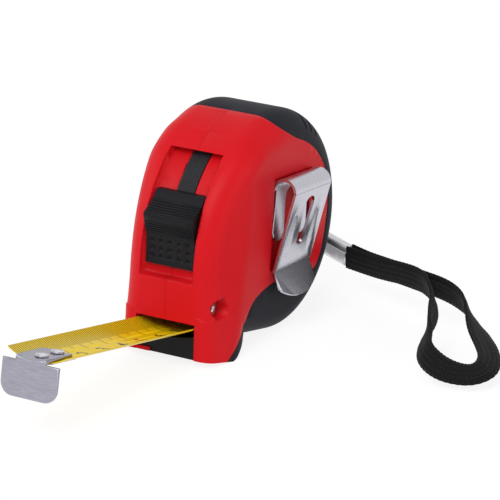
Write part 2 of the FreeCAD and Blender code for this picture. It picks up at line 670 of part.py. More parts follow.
def cup_bar(y0, y1, r_out, r_in, half):
    return Part.Face(cup_section(y0, r_out, r_in, half)).extrude(V(0, y1 - y0, 0))


def blade_strip():
    """The stretch outside the mouth, with the two rivet holes in its end."""
    strip = cup_bar(BLADE_END, STRIP_END, BLADE_CUP_R, BLADE_CUP_R - BLADE_T, BLADE_W / 2)
    for y in RIVET_YS:
        strip = strip.cut(Part.makeCylinder(RIVET_R + RUN, 20.0, V(0, y, 0)))
    return strip


def blade_lead():
    """The stretch inside, flattening as it climbs to the coil."""
    start = V(0, STRIP_END + GAP, BLADE_LOW_Z)
    reach = COIL_R + GAP + BLADE_T
    dy, dz = BODY_Y - start.y, BODY_Z - start.z
    d = math.hypot(dy, dz)
    slope = math.atan2(dz, dy) - math.asin(reach / d)
    run = math.sqrt(d ** 2 - reach ** 2)
    end_y = start.y + run * math.cos(slope)
    end_z = start.z + run * math.sin(slope)
    flat_r = 40 * BLADE_CUP_R
    first = cup_section(start.y, BLADE_CUP_R, BLADE_CUP_R - BLADE_T, BLADE_W / 2)
    last = cup_section(end_y, flat_r, flat_r - BLADE_T, BLADE_W / 2, end_z + flat_r)
    return Part.makeLoft([first, last], True, True)


def spool():
    """Drum that the coil is wound on, with one closed side and a hole for the post."""
    half = BLADE_W / 2
    bore = COIL_BORE - FIT - SPOOL_T
    drum = tube(COIL_BORE - FIT, bore, -half, half - SPOOL_DISC_T, BODY_Y, BODY_Z)
    disc = tube(bore + 0.5, POST_R + RUN, -half, -half + SPOOL_DISC_T, BODY_Y, BODY_Z)
    return drum.fuse(disc).removeSplitter()


def spool_cover():
    half = BLADE_W / 2
    return tube(COIL_BORE - FIT, POST_R + RUN, half - SPOOL_DISC_T, half, BODY_Y, BODY_Z)


def power_spring():
    """The wound spring: its turns as one pack against the drum, and the tail to the arbor."""
    half = BLADE_W / 2 - SPOOL_DISC_T - FIT
    pack = tube(COIL_BORE - FIT - SPOOL_T - FIT, SPRING_BORE, -half, half, BODY_Y, BODY_Z)
    start = -SPRING_BORE - SPRING_TAIL_T / 2
    tail_r = (SPRING_TAIL_R + SPRING_TAIL_T - start) / 2
    tail_y = BODY_Y + start + tail_r
    tail = tube(tail_r, tail_r - SPRING_TAIL_T, -half, half, tail_y, BODY_Z)
    tail = tail.common(box(-half, half, 0.0, 2 * BODY_Y, BODY_Z, 2 * BODY_Z))
    return pack.fuse(tail).removeSplitter()


def spring_arbor():
    """Keyed sleeve on the post, which holds the spring's inner end."""
    half = BLADE_W / 2 - SPOOL_DISC_T - GAP
    sleeve = tube(ARBOR_R, POST_R + RUN, -half, half, BODY_Y, BODY_Z)
    notch = box(-half - 1, half + 1, BODY_Y + POST_R, BODY_Y + ARBOR_R + 1,
                BODY_Z - SPRING_TAIL_T, BODY_Z + SPRING_TAIL_T)
    return sleeve.cut(notch)


def centre_post():
    half = HALF_W - WALL - FIT
    return rod(POST_R - RUN, -half, half, BODY_Y, BODY_Z)


def liner(side):
    x0 = side * (BLADE_W / 2 + GAP)
    x1 = side * (BLADE_W / 2 + GAP + LINER_T)
    return tube(LINER_R, POST_R + WALL + FIT, min(x0, x1), max(x0, x1), BODY_Y, BODY_Z)


# ------------------------------------------------------------------ end hook
def end_hook():
    """Folded steel: a wide upright, a narrow bend and a plate that lies in the trough."""
    r_out = BLADE_CUP_R - BLADE_T - RUN
    half = NECK_HOOK_W / 2
    plate = cup_bar(HOOK_Y + HOOK_T / 2, PLATE_BACK, r_out, r_out - HOOK_T, half)
    for s in (1, -1):
        corner = [V(s * half, PLATE_BACK - PLATE_CHAMFER, 0), V(s * (half + 1), PLATE_BACK, 0),
                  V(s * (half - PLATE_CHAMFER), PLATE_BACK + 1, 0)]
        corner = Part.Face(Part.makePolygon(corner + corner[:1]))
        plate = plate.cut(corner.extrude(V(0, 0, 20)))
    for y in RIVET_YS:
        reach = HOOK_SLIP + RUN
        slot = box(-RIVET_R - RUN, RIVET_R + RUN, y - reach, y + reach, 0, 20)
        for dy in (-reach, reach):
            slot = slot.fuse(Part.makeCylinder(RIVET_R + RUN, 20.0, V(0, y + dy, 0)))
        plate = plate.cut(slot)
    upright = box(-HOOK_W / 2, HOOK_W / 2, HOOK_Y, HOOK_Y + HOOK_T, HOOK_LOW, HOOK_HIGH)
    corners = [e for e in upright.Edges if e.BoundBox.YLength > HOOK_T / 2
               and e.BoundBox.XLength < 1e-6 and e.BoundBox.ZMin < HOOK_LOW + 0.1]
    upright = upright.makeFillet(HOOK_CORNER_R, corners)
    bend = box(-half, half, HOOK_Y, HOOK_Y + HOOK_T, HOOK_HIGH - 3.0, CUP_Z)
    bend = bend.cut(Part.makeCylinder(r_out - HOOK_T, 4 * HOOK_T, V(0, HOOK_Y - HOOK_T, CUP_Z),
                                      V(0, 1, 0)))
    crown = [e for e in bend.Edges if e.BoundBox.XLength > half and e.BoundBox.ZMin > HOOK_HIGH
             and e.BoundBox.YMax < HOOK_Y + 0.1]
    bend = bend.makeFillet(HOOK_CROWN_R, crown)
    hook = plate.fuse([upright, bend]).removeSplitter()
    rims = [e for e in hook.Edges if abs(e.BoundBox.YMin - HOOK_Y) < 1e-6
            and e.BoundBox.YLength < 1e-6 and e.BoundBox.ZMax < HOOK_HIGH + 0.01]
    return hook.makeFillet(HOOK_EDGE_R, rims)


def hook_rivets():
    """Two tubular rivets: shank through the blade, and a head over the plate with a flared bore."""
    z_top = CUP_Z - (BLADE_CUP_R - BLADE_T - RUN - HOOK_T) + 0.1
    z_low = BLADE_LOW_Z - 0.1
    rivets = []
    for y in RIVET_YS:
        shank = Part.makeCylinder(RIVET_R, z_top - z_low, V(0, y, z_low))
        head = Part.makeCylinder(RIVET_HEAD_R, RIVET_HEAD_H, V(0, y, z_top + 0.05))
        flare = Part.makeCone(RIVET_BORE_R, RIVET_HEAD_R - RIVET_RIM, RIVET_HEAD_H,
                              V(0, y, z_top + 0.05))
        stem = Part.makeCylinder(RIVET_R, 0.2, V(0, y, z_top - 0.1))
        bore = Part.makeCylinder(RIVET_BORE_R, 2.0, V(0, y, z_top - 0.4))
        rivets.append(shank.fuse(stem).fuse(head).cut(bore.fuse(flare)).removeSplitter())
    return Part.makeCompound(rivets)


def tip_plate():
    """Thin backing plate under the blade's end."""
    r = BLADE_CUP_R + RUN
    plate = cup_bar(BLADE_END + 1.0, PLATE_BACK - 0.5, r + 0.25, r, NECK_HOOK_W / 2)
    for y in RIVET_YS:
        plate = plate.cut(Part.makeCylinder(RIVET_R + RUN, 20.0, V(0, y, 0)))
    return plate


# ------------------------------------------------------------------ screws and clip
def case_screws():
    """Three self-tapping screws with crossed heads, one from the right, two from the left."""
    def screw(y, z, side):
        shank = rod(SCREW_R - RUN, -SCREW_LEN, 0.0, 0, 0)
        head = rod(SCREW_HEAD_R, 0.0, SCREW_HEAD_H, 0, 0)
        cross = box(SCREW_HEAD_H - 1.0, SCREW_HEAD_H + 1, -0.35, 0.35, -1.4, 1.4).fuse(
            box(SCREW_HEAD_H - 1.0, SCREW_HEAD_H + 1, -1.4, 1.4, -0.35, 0.35))
        body = shank.fuse(head).cut(cross)
        if side < 0:
            body.rotate(V(0, 0, 0), V(0, 0, 1), 180)
        body.translate(V(side * (SEAT_X + FIT), y, z))
        return body
    return Part.makeCompound([screw(*front_screw(), 1)] + [screw(y, z, -1) for y, z in rear_screws()])


def clip_sheet(outline, thickness=CLIP_T):
    """A flat piece of sheet in the YZ plane, its middle at x = 0."""
    return prism(polygon(outline), -thickness / 2, thickness / 2)


def clip_slot():
    """The tapering slot: a large round end above, a smaller one below."""
    (r0, r1), (z0, z1) = CLIP_SLOT_R, CLIP_SLOT_Z
    lean = math.asin((r0 - r1) / (z0 - z1))
    right = [(r * math.cos(lean), z - r * math.sin(lean)) for r, z in ((r0, z0), (r1, z1))]
    left = [(-y, z) for y, z in reversed(right)]
    slot = clip_sheet(right + left, 3 * CLIP_T)
    for r, z in ((r0, z0), (r1, z1)):
        slot = slot.fuse(rod(r, -1.5 * CLIP_T, 1.5 * CLIP_T, 0.0, z))
    return slot


def clip_rib(y, bend_r):
    """A long rib with pointed ends, as a round bar sunk behind the sheet's face."""
    axis = CLIP_T / 2 - RIB_SUNK
    tip_r = bend_r - (RIB_BEND_R - RIB_SUNK)
    z0, z1, z2, z3 = RIB_Z
    down = V(0, 0, -1)
    upper = Part.makeCone(tip_r, bend_r, z0 - z1, V(axis, y, z0), down)
    middle = Part.makeCylinder(bend_r, z1 - z2, V(axis, y, z1), down)
    lower = Part.makeCone(bend_r, tip_r, z2 - z3, V(axis, y, z2), down)
    return upper.fuse([middle, lower])


def clip_lip():
    """The turned-out lip: straight sides, then a bowed end."""
    half = CLIP_W / 2
    sides = polygon([(half, 0.0), (-half, 0.0), (-half, -CLIP_LIP_LEN), (half, -CLIP_LIP_LEN)])
    bow = Part.Arc(yz(-half, -CLIP_LIP_LEN), yz(0.0, -CLIP_LIP_LEN - CLIP_LIP_BULGE),
                   yz(half, -CLIP_LIP_LEN)).toShape()
    return prism(sides[:2] + [bow] + sides[3:], -CLIP_T / 2, CLIP_T / 2)


def belt_clip():
    """One strip of spring steel: forked inner plate, rolled top, ribbed outer plate and lip."""
    half = CLIP_W / 2
    x_in = HALF_W - POCKET_DEPTH + FIT + CLIP_T / 2
    x_out = x_in + 2 * CLIP_ROLL_R
    x_fold = HALF_W + CLIP_TOE_GAP + CLIP_T / 2
    lean = math.degrees(math.atan2(x_out - x_fold, CLIP_DROP))
    length = math.hypot(x_out - x_fold, CLIP_DROP)
    edge = half - FORK_INSET
    inner = clip_sheet([(edge, 0.0), (-edge, 0.0), (-edge, -FORK_DROP), (edge, -FORK_DROP)])
    fork = box(-CLIP_T, CLIP_T, -FORK_GAP / 2, FORK_GAP / 2, -FORK_DROP - 1, -FORK_GAP / 2)
    inner = inner.cut(fork).cut(rod(FORK_GAP / 2, -CLIP_T, CLIP_T, 0.0, -FORK_GAP / 2))
    toes = [e for e in inner.Edges if e.BoundBox.XLength > CLIP_T / 2 and e.BoundBox.YLength < 1e-6
            and abs(e.BoundBox.ZMin + FORK_DROP) < 1e-6]
    inner = inner.makeFillet(FORK_TOE * (edge - FORK_GAP / 2), toes)
    inner.translate(V(x_in, 0, 0))
    roll_at = V(x_in + CLIP_ROLL_R, -half, 0)
    roll = Part.makeCylinder(CLIP_ROLL_R + CLIP_T / 2, CLIP_W, roll_at, V(0, 1, 0))
    roll = roll.cut(Part.makeCylinder(CLIP_ROLL_R - CLIP_T / 2, CLIP_W, roll_at, V(0, 1, 0)))
    roll = roll.common(box(x_in - 2, x_out + 2, -half, half, 0.0, 2 * CLIP_ROLL_R))
    outer = clip_sheet([(half, 0.0), (-half, 0.0), (-half, -length), (half, -length)])
    outer = outer.fuse([clip_rib(y, RIB_BEND_R).common(box(0, 5, -half, half, -length, 0))
                        for y in (RIB_Y, -RIB_Y)])
    for y in (RIB_Y, -RIB_Y):
        outer = outer.cut(clip_rib(y, RIB_BEND_R - CLIP_T))
    outer = outer.cut(clip_slot())
    outer.rotate(V(0, 0, 0), V(0, 1, 0), lean)
    outer.translate(V(x_out, 0, 0))
    fold = Part.makeCylinder(CLIP_T / 2, CLIP_W, V(x_fold, -half, -CLIP_DROP), V(0, 1, 0))
    lip = clip_lip()
    lip.rotate(V(0, 0, 0), V(0, 1, 0), -CLIP_LIP_TURN)
    lip.translate(V(x_fold, 0, -CLIP_DROP))
    return clip_place(inner.fuse([roll, outer, fold, lip]).removeSplitter())


# ------------------------------------------------------------------ wrist strap, standing frame
def strap_lug(oversize=0.0):
    """A tongue held in the seam at the back, round-ended about the pin."""
    x, y, z = PIN_POS
    h = LUG_H / 2 + oversize
    r = LUG_R + oversize
    tail = box(x - r, x + r, y - LUG_TAIL - oversize, y, z - h, z + h)
    eye = Part.makeCylinder(r, 2 * h, V(x, y, z - h))
    lug = tail.fuse(eye).removeSplitter()
    if not oversize:
        lug = lug.cut(Part.makeCylinder(PIN_R + RUN, LUG_H + 2, V(x, y, z - h - 1)))
    return lug


def ferrule_axis():
    start = V(*PIN_POS)
    end = start + V(*FERRULE_END)
    along = (end - start).normalize()
    return start, end, along


def strap_ferrule():
    """Flattened steel tube: forked over the tongue at one end, crimped on the strap at the other."""
    start, end, along = ferrule_axis()
    length = (end - start).Length
    body = box(-LUG_R, length, -FERRULE_T / 2, FERRULE_T / 2, -FERRULE_H / 2, FERRULE_H / 2)
    rims = [e for e in body.Edges if e.BoundBox.XLength > length / 2]
    body = body.makeFillet(FERRULE_R, rims)
    yaw = math.degrees(math.atan2(along.y, along.x))
    pitch = -math.degrees(math.asin(along.z))
    body.rotate(V(0, 0, 0), V(0, 1, 0), pitch)
    body.rotate(V(0, 0, 0), V(0, 0, 1), yaw)
    body.translate(start)
    x, y, z = PIN_POS
    gap = LUG_H / 2 + GAP
    reach = LUG_R + 1.6
    body = body.cut(Part.makeCylinder(reach, 2 * gap, V(x, y, z - gap)))
    body = body.cut(box(x - 20, x, y - 20, y + 20, z - gap, z + gap))
    return body.cut(Part.makeCylinder(PIN_R, 2 * FERRULE_H, V(x, y, z - FERRULE_H)))


def strap_pin():
    x, y, z = PIN_POS
    half = FERRULE_H / 2 - 0.2
    return Part.makeCylinder(PIN_R, 2 * half, V(x, y, z - half))


def wrist_strap():
    """A plain round stand-in for the flat braid, along straight runs and tangent arcs."""
    points = [V(*PIN_POS) + V(*p) for p in STRAP_ROUTE]
    edges = []
    radii = []
    at = points[0]
    for before, corner, after in zip(points, points[1:], points[2:]):
        u = (corner - before).normalize()
        w = (after - corner).normalize()
        turn = u.getAngle(w)
        cut = 0.45 * min((corner - before).Length, (after - corner).Length)
        radius = cut / math.tan(turn / 2)
        radii.append(radius)
        a = corner - u * cut
        b = corner + w * cut
        centre = corner + (w - u).normalize() * (radius / math.cos(turn / 2))
        mid = centre + (corner - centre).normalize() * radius
        edges.append(Part.LineSegment(at, a).toShape())
        edges.append(Part.Arc(a, mid, b).toShape())
        at = b
    edges.append(Part.LineSegment(at, points[-1]).toShape())
    path = Part.Wire(edges)
    first = (points[1] - points[0]).normalize()
    section = Part.Wire(Part.makeCircle(STRAP_R, points[0], first))
    strap = path.makePipeShell([section], True, False)
    area = math.pi * STRAP_R ** 2
    print("strap length %.1f, volume ratio %.4f" % (path.Length, strap.Volume / (area * path.Length)))
    print("strap radii " + " ".join("%.1f" % r for r in radii))
    return strap


# ------------------------------------------------------------------ build
def main():
    os.makedirs(PARTS, exist_ok=True)
    print("rest tilt %.3f degrees, nose radius %.3f" % (math.degrees(REST_TILT), NOSE_R))
    right, left = case_halves()
    right_grip, left_grip = grips()
    lug_seat = strap_lug(FIT)
    for name, shape in (("right_shell", right), ("left_shell", left),
                        ("right_grip", right_grip), ("left_grip", left_grip)):
        save(name, stand(shape).cut(lug_seat))
    upright = {
        "mouth_lip": mouth_lip(),
        "lock_button": lock_button(),
        "lock_strip": lock_strip(),
        "brake_arm": brake_arm(),
        "brake_pad": brake_pad(),
        "blade_strip": blade_strip(),
        "blade_lead": blade_lead(),
        "blade_coil": tube(COIL_R, COIL_BORE, -BLADE_W / 2, BLADE_W / 2, BODY_Y, BODY_Z),
        "spool": spool(),
        "spool_cover": spool_cover(),
        "power_spring": power_spring(),
        "spring_arbor": spring_arbor(),
        "centre_post": centre_post(),
        "right_liner": liner(1),
        "left_liner": liner(-1),
        "end_hook": end_hook(),
        "hook_rivets": hook_rivets(),
        "tip_plate": tip_plate(),
        "case_screws": case_screws(),
        "belt_clip": belt_clip(),
    }
    for name, shape in upright.items():
        save(name, stand(shape))
    for name, shape in (("strap_lug", strap_lug()), ("strap_pin", strap_pin()),
                        ("strap_ferrule", strap_ferrule()), ("wrist_strap", wrist_strap())):
        save(name, shape)


main()
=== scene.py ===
import bpy, bmesh, json, math
import numpy as np
from mathutils import Matrix, Vector


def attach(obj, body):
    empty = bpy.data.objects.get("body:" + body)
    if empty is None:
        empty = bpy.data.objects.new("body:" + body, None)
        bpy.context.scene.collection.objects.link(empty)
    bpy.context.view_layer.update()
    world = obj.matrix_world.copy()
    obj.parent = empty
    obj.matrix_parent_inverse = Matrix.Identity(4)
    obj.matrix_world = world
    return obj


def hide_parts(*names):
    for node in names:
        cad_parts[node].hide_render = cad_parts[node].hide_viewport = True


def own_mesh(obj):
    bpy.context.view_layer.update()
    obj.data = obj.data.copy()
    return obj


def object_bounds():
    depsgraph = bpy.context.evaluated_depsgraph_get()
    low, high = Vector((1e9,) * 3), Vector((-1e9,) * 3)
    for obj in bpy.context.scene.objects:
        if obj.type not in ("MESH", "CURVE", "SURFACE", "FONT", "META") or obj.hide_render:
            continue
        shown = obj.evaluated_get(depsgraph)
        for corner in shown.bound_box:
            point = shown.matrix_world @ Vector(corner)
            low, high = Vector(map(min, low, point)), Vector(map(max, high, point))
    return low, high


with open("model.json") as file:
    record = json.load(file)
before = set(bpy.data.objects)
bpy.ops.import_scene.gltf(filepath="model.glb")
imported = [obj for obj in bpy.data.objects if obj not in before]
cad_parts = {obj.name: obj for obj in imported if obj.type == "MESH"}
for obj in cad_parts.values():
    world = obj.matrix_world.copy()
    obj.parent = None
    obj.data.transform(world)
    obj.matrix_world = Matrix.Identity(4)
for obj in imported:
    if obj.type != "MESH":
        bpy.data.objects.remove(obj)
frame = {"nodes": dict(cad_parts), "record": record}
cad_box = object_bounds()


# ---------------------------------------------------------------- studio
# A plain white floor and sky, three soft lamps, and a long-lens camera looking a little down
# at the front and right side.
def linear(hex_code):
    """An sRGB hex colour as linear RGBA."""
    parts = [int(hex_code[i:i + 2], 16) / 255 for i in (0, 2, 4)]
    return [c / 12.92 if c <= 0.04045 else ((c + 0.055) / 1.055) ** 2.4 for c in parts] + [1.0]


def node(tree, kind, sockets=None, **settings):
    """Adds a node, sets it up, and fills or links its input sockets."""
    made = tree.nodes.new(kind)
    for name, value in settings.items():
        setattr(made, name, value)
    for key, value in (sockets or {}).items():
        if isinstance(value, bpy.types.NodeSocket):
            tree.links.new(value, made.inputs[key])
        else:
            made.inputs[key].default_value = value
    return made


def maths(tree, operation, first, second=None):
    """A maths node on one or two numbers or sockets: its result."""
    values = {0: first} if second is None else {0: first, 1: second}
    return node(tree, "ShaderNodeMath", values, operation=operation).outputs[0]


def mix(tree, kind, factor, first, second):
    """A mix of two colours ("RGBA") or two numbers ("FLOAT"): its result."""
    made = node(tree, "ShaderNodeMix", {"Factor": factor, "A": first, "B": second}, data_type=kind)
    return made.outputs["Result"]


def noise(tree, place, scale, detail):
    """A noise texture over a place socket: its value, from 0 to 1."""
    return node(tree, "ShaderNodeTexNoise", {"Vector": place, "Scale": scale, "Detail": detail}).outputs[0]


def bumped(tree, height, strength, distance):
    """A surface's normal, raised by a height: its socket."""
    return node(tree, "ShaderNodeBump",
                {"Height": height, "Strength": strength, "Distance": distance}).outputs[0]


def new_material(name):
    """An empty node material: (material, tree, output node)."""
    material = bpy.data.materials.new(name)
    material.use_nodes = True
    tree = material.node_tree
    tree.nodes.clear()
    return material, tree, tree.nodes.new("ShaderNodeOutputMaterial")


FLOOR_Z = cad_box[0][2]
FLOOR_SIZE = 6.0
LENS_MM = 250.56
CAMERA_AT = (0.49376, -0.78539, 0.38871)
CAMERA_TURN = (30.763, 21.061, -0.327)    # azimuth, elevation and roll in degrees
SKY_SOFT = 0.46                           # how bright the sky is as soft light
SKY_GLOSS = 0.85                          # and in reflections


def paper_white():
    """Matt white card that stays white behind the tape and still takes its shadow."""
    material, tree, out = new_material("matt white card")
    path = node(tree, "ShaderNodeLightPath")
    seen = maths(tree, "MAXIMUM", path.outputs["Is Camera Ray"], path.outputs["Is Glossy Ray"])
    card = node(tree, "ShaderNodeBsdfDiffuse", {"Color": linear("F4F4F4")})
    dim = node(tree, "ShaderNodeBsdfDiffuse", {"Color": linear("7C7C7C")})
    glow = node(tree, "ShaderNodeEmission", {"Color": linear("FFFFFF"), "Strength": 0.86})
    lit = node(tree, "ShaderNodeAddShader", {0: dim.outputs[0], 1: glow.outputs[0]})
    both = node(tree, "ShaderNodeMixShader", {0: seen, 1: card.outputs[0], 2: lit.outputs[0]})
    tree.links.new(both.outputs[0], out.inputs["Surface"])
    return material


floor_mesh = bpy.data.meshes.new("floor")
half = FLOOR_SIZE / 2
floor_mesh.from_pydata([(-half, -half, FLOOR_Z), (half, -half, FLOOR_Z), (half, half, FLOOR_Z),
                        (-half, half, FLOOR_Z)], [], [(0, 1, 2, 3)])
floor = bpy.data.objects.new("floor", floor_mesh)
bpy.context.scene.collection.objects.link(floor)
floor_mesh.materials.append(paper_white())

world = bpy.data.worlds.new("white studio")
bpy.context.scene.world = world
world.use_nodes = True
world.node_tree.nodes.clear()
sky_path = node(world.node_tree, "ShaderNodeLightPath")
sky_seen = maths(world.node_tree, "MAXIMUM", sky_path.outputs["Is Camera Ray"],
                 sky_path.outputs["Is Transmission Ray"])
sky_lit = mix(world.node_tree, "FLOAT", sky_path.outputs["Is Glossy Ray"], SKY_SOFT, SKY_GLOSS)
sky_level = mix(world.node_tree, "FLOAT", sky_seen, sky_lit, 1.0)
sky = node(world.node_tree, "ShaderNodeBackground", {"Color": linear("FFFFFF"), "Strength": sky_level})
node(world.node_tree, "ShaderNodeOutputWorld", {"Surface": sky.outputs[0]})


def softbox(name, place, aim, size, watts):
    """A square lamp that faces a point."""
    lamp = bpy.data.lights.new(name, "AREA")
    lamp.size = size
    lamp.energy = watts
    holder = bpy.data.objects.new(name, lamp)
    bpy.context.scene.collection.objects.link(holder)
    holder.location = place
    holder.rotation_euler = (Vector(place) - Vector(aim)).to_track_quat("Z", "Y").to_euler()


softbox("key softbox", (0.10, -0.75, 0.85), (0.0, 0.0, 0.03), 0.50, 5.3)
softbox("side softbox", (0.95, 0.05, 0.40), (0.0, 0.02, 0.03), 0.55, 1.4)
softbox("left softbox", (-0.85, -0.35, 0.45), (0.0, 0.0, 0.03), 0.55, 1.7)

camera_data = bpy.data.cameras.new("camera")
camera_data.lens = LENS_MM
camera_data.sensor_width = 36.0
camera_data.clip_start = 0.05
camera_data.clip_end = 20.0
camera = bpy.data.objects.new("camera", camera_data)
bpy.context.scene.collection.objects.link(camera)
turn, lift, roll = (math.radians(a) for a in CAMERA_TURN)
camera.matrix_world = (Matrix.Translation(CAMERA_AT) @ Matrix.Rotation(turn, 4, "Z")
                       @ Matrix.Rotation(math.pi / 2 - lift, 4, "X") @ Matrix.Rotation(roll, 4, "Z"))
bpy.context.scene.camera = camera
bpy.context.scene.view_settings.view_transform = "Standard"

# ---------------------------------------------------------------- wrist strap
# A flat hollow braid of black polyester, about 7 mm wide. Both ends go into a crimped steel
# tube; the strap leaves it doubled, then opens into a loop that twists and sinks towards the floor.
# Sizes are in millimetres but for the two marked otherwise.
STRAP_ROUTE = [
    (20.9, 68.7, 11.3), (27.1, 67.2, 10.6), (34.1, 65.1, 10.8), (42.1, 62.4, 11.2),
    (50.3, 59.6, 11.4), (57.2, 57.3, 11.7), (62.8, 55.0, 11.4), (67.8, 51.8, 10.7),
    (72.0, 47.8, 9.3), (75.6, 43.8, 7.9), (79.4, 39.6, 7.0), (83.7, 35.2, 6.0),
    (87.2, 30.4, 4.9), (88.3, 25.1, 3.8), (85.3, 21.1, 3.0), (79.4, 19.7, 3.5),
    (73.8, 21.2, 4.4), (68.9, 24.5, 5.8), (66.6, 29.8, 7.1), (64.6, 35.4, 8.3),
    (62.8, 41.5, 9.7), (60.2, 47.7, 11.3), (55.5, 52.5, 13.4), (50.5, 56.0, 13.7),
    (43.4, 58.8, 13.1), (35.8, 61.6, 11.9), (28.0, 64.4, 11.2), (20.7, 66.2, 11.3)]
STRAP_WIDTH = 7.0
STRAP_THICK = 1.3
PLAIT_PITCH = 1.5          # one stitch of the braid along its edge
PLAIT_SWELL = 0.035        # share of the half width that each stitch stands out there
STITCH = 1.1               # one stitch on the braid's face
STITCH_SLANT = 0.9         # how far it falls back for each mm away from the middle
ROW_GAP = 1.5              # between the lengthways rows of stitches
BAND_STEP = 0.00025        # between cross-sections of the band, in metres
# Share of the way round, and how far the braid's width leans from upright, in degrees.
STRAP_LEAN = [(0.0, 0.0), (0.235, 0.0), (0.28, 10.0), (0.325, 38.0), (0.36, 66.0), (0.41, 78.0),
              (0.45, 70.0), (0.49, 60.0), (0.53, 50.0), (0.58, 40.0), (0.61, 30.0), (0.64, 38.0),
              (0.67, 12.0), (0.70, -14.0), (0.74, -18.0), (0.77, -16.0), (0.81, 0.0), (1.0, 0.0)]
LEAN_EASE = 0.02           # share of the length over which a change of lean is eased


def smooth_object(name, verts, faces, material):
    """A smooth-shaded object from points and faces."""
    mesh = bpy.data.meshes.new(name)
    mesh.from_pydata([tuple(v) for v in verts], [], faces)
    mesh.materials.append(material)
    mesh.shade_smooth()
    made = bpy.data.objects.new(name, mesh)
    bpy.context.scene.collection.objects.link(made)
    return made


def strap_line():
    """Points along the strap's smooth middle line, in metres, from its spline."""
    curve = bpy.data.curves.new("strap route", "CURVE")
    curve.dimensions = "3D"
    curve.resolution_u = 24
    spline = curve.splines.new("NURBS")
    spline.points.add(len(STRAP_ROUTE) - 1)
    for point, (x, y, z) in zip(spline.points, STRAP_ROUTE):
        point.co = (x / 1000, y / 1000, z / 1000, 1.0)
    spline.order_u = 3
    spline.use_endpoint_u = True
    holder = bpy.data.objects.new("strap route", curve)
    bpy.context.scene.collection.objects.link(holder)
    shape = bpy.data.meshes.new_from_object(holder.evaluated_get(bpy.context.evaluated_depsgraph_get()))
    line = np.array([v.co for v in shape.vertices])
    bpy.data.objects.remove(holder)
    bpy.data.meshes.remove(shape)
    return line


def spread(line, step):
    """The same line with points an even step apart: (points, distance along)."""
    run = np.concatenate([[0.0], np.cumsum(np.linalg.norm(np.diff(line, axis=0), axis=1))])
    along = np.linspace(0.0, run[-1], int(round(run[-1] / step)) + 1)
    return np.stack([np.interp(along, run, line[:, k]) for k in range(3)], 1), along


def braid_cloth():
    """Dyed polyester braid: matt black, with the raised stitches catching a little light."""
    material, tree, out = new_material("braided polyester, black")
    uv = node(tree, "ShaderNodeUVMap", uv_map="braid")
    split = node(tree, "ShaderNodeSeparateXYZ", {0: uv.outputs[0]})
    across = maths(tree, "ABSOLUTE", split.outputs["Y"])
    slant = maths(tree, "MULTIPLY", across, STITCH_SLANT)
    shifted = maths(tree, "ADD", split.outputs["X"], slant)
    turns = maths(tree, "MULTIPLY", shifted, 2 * math.pi / STITCH)
    ridge = maths(tree, "SINE", turns)
    rows = maths(tree, "MULTIPLY", split.outputs["Y"], 2 * math.pi / ROW_GAP)
    raised = maths(tree, "MAXIMUM", maths(tree, "COSINE", rows), 0.1)
    knot = maths(tree, "MULTIPLY", ridge, raised)
    height = maths(tree, "ADD", knot, noise(tree, uv.outputs[0], 1.7, 3.0))
    lit = node(tree, "ShaderNodeMapRange", {"Value": height, "From Min": 1.05, "From Max": 1.6})
    colour = mix(tree, "RGBA", lit.outputs[0], linear("09090C"), linear("2C2C32"))
    cloth = node(tree, "ShaderNodeBsdfPrincipled",
                 {"Base Color": colour, "Roughness": 0.85, "Specular IOR Level": 0.2,
                  "Sheen Weight": 0.06, "Normal": bumped(tree, height, 0.7, 0.0002)})
    tree.links.new(cloth.outputs[0], out.inputs["Surface"])
    return material


def braid_band(line, along):
    """The flat band round the line, with scalloped edges and its own map in millimetres."""
    total = along[-1]
    tangent = np.gradient(line, axis=0)
    tangent /= np.linalg.norm(tangent, axis=1)[:, None]
    shares, leans = zip(*STRAP_LEAN)
    ease = max(1, int(LEAN_EASE * len(line)))
    lean = np.radians(np.interp(along / total, shares, leans))
    evened = np.ones(2 * ease + 1) / (2 * ease + 1)
    lean = np.convolve(np.pad(lean, ease, mode="edge"), evened, mode="valid")
    upright = np.array([0.0, 0.0, 1.0]) - tangent * tangent[:, 2:3]
    upright /= np.linalg.norm(upright, axis=1)[:, None]
    side = np.cross(tangent, upright)
    wide = upright * np.cos(lean)[:, None] + side * np.sin(lean)[:, None]
    flat = np.cross(tangent, wide)
    half_profile = [(1.0, 0.0), (0.94, 0.62), (0.6, 1.0), (0.2, 0.86), (-0.2, 0.86), (-0.6, 1.0),
                    (-0.94, 0.62)]
    profile = half_profile + [(-a, -b) for a, b in half_profile]
    verts, uvs = [], []
    for at, w, f, s in zip(line, wide, flat, along):
        scallop = 1.0 + PLAIT_SWELL * abs(math.sin(math.pi * s * 1000 / PLAIT_PITCH))
        for a, b in profile:
            half_width = STRAP_WIDTH / 2000 * (scallop if abs(a) > 0.9 else 1.0)
            verts.append(at + w * a * half_width + f * b * STRAP_THICK / 2000)
            uvs.append((s * 1000, a * STRAP_WIDTH / 2))
    n = len(profile)
    faces = [(i * n + j, i * n + (j + 1) % n, (i + 1) * n + (j + 1) % n, (i + 1) * n + j)
             for i in range(len(line) - 1) for j in range(n)]
    faces += [tuple(range(n))[::-1], tuple(range((len(line) - 1) * n, len(line) * n))]
    band = smooth_object("strap_braid", verts, faces, braid_cloth())
    layer = band.data.uv_layers.new(name="braid")
    for loop in band.data.loops:
        layer.data[loop.index].uv = uvs[loop.vertex_index]
    return band


def outward(obj):
    """Turns every face outwards."""
    work = bmesh.new()
    work.from_mesh(obj.data)
    bmesh.ops.recalc_face_normals(work, faces=work.faces)
    work.to_mesh(obj.data)
    work.free()


strap_points, strap_along = spread(strap_line(), BAND_STEP)
strap = braid_band(strap_points, strap_along)
outward(strap)
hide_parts("wrist_strap")
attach(strap, "strap")


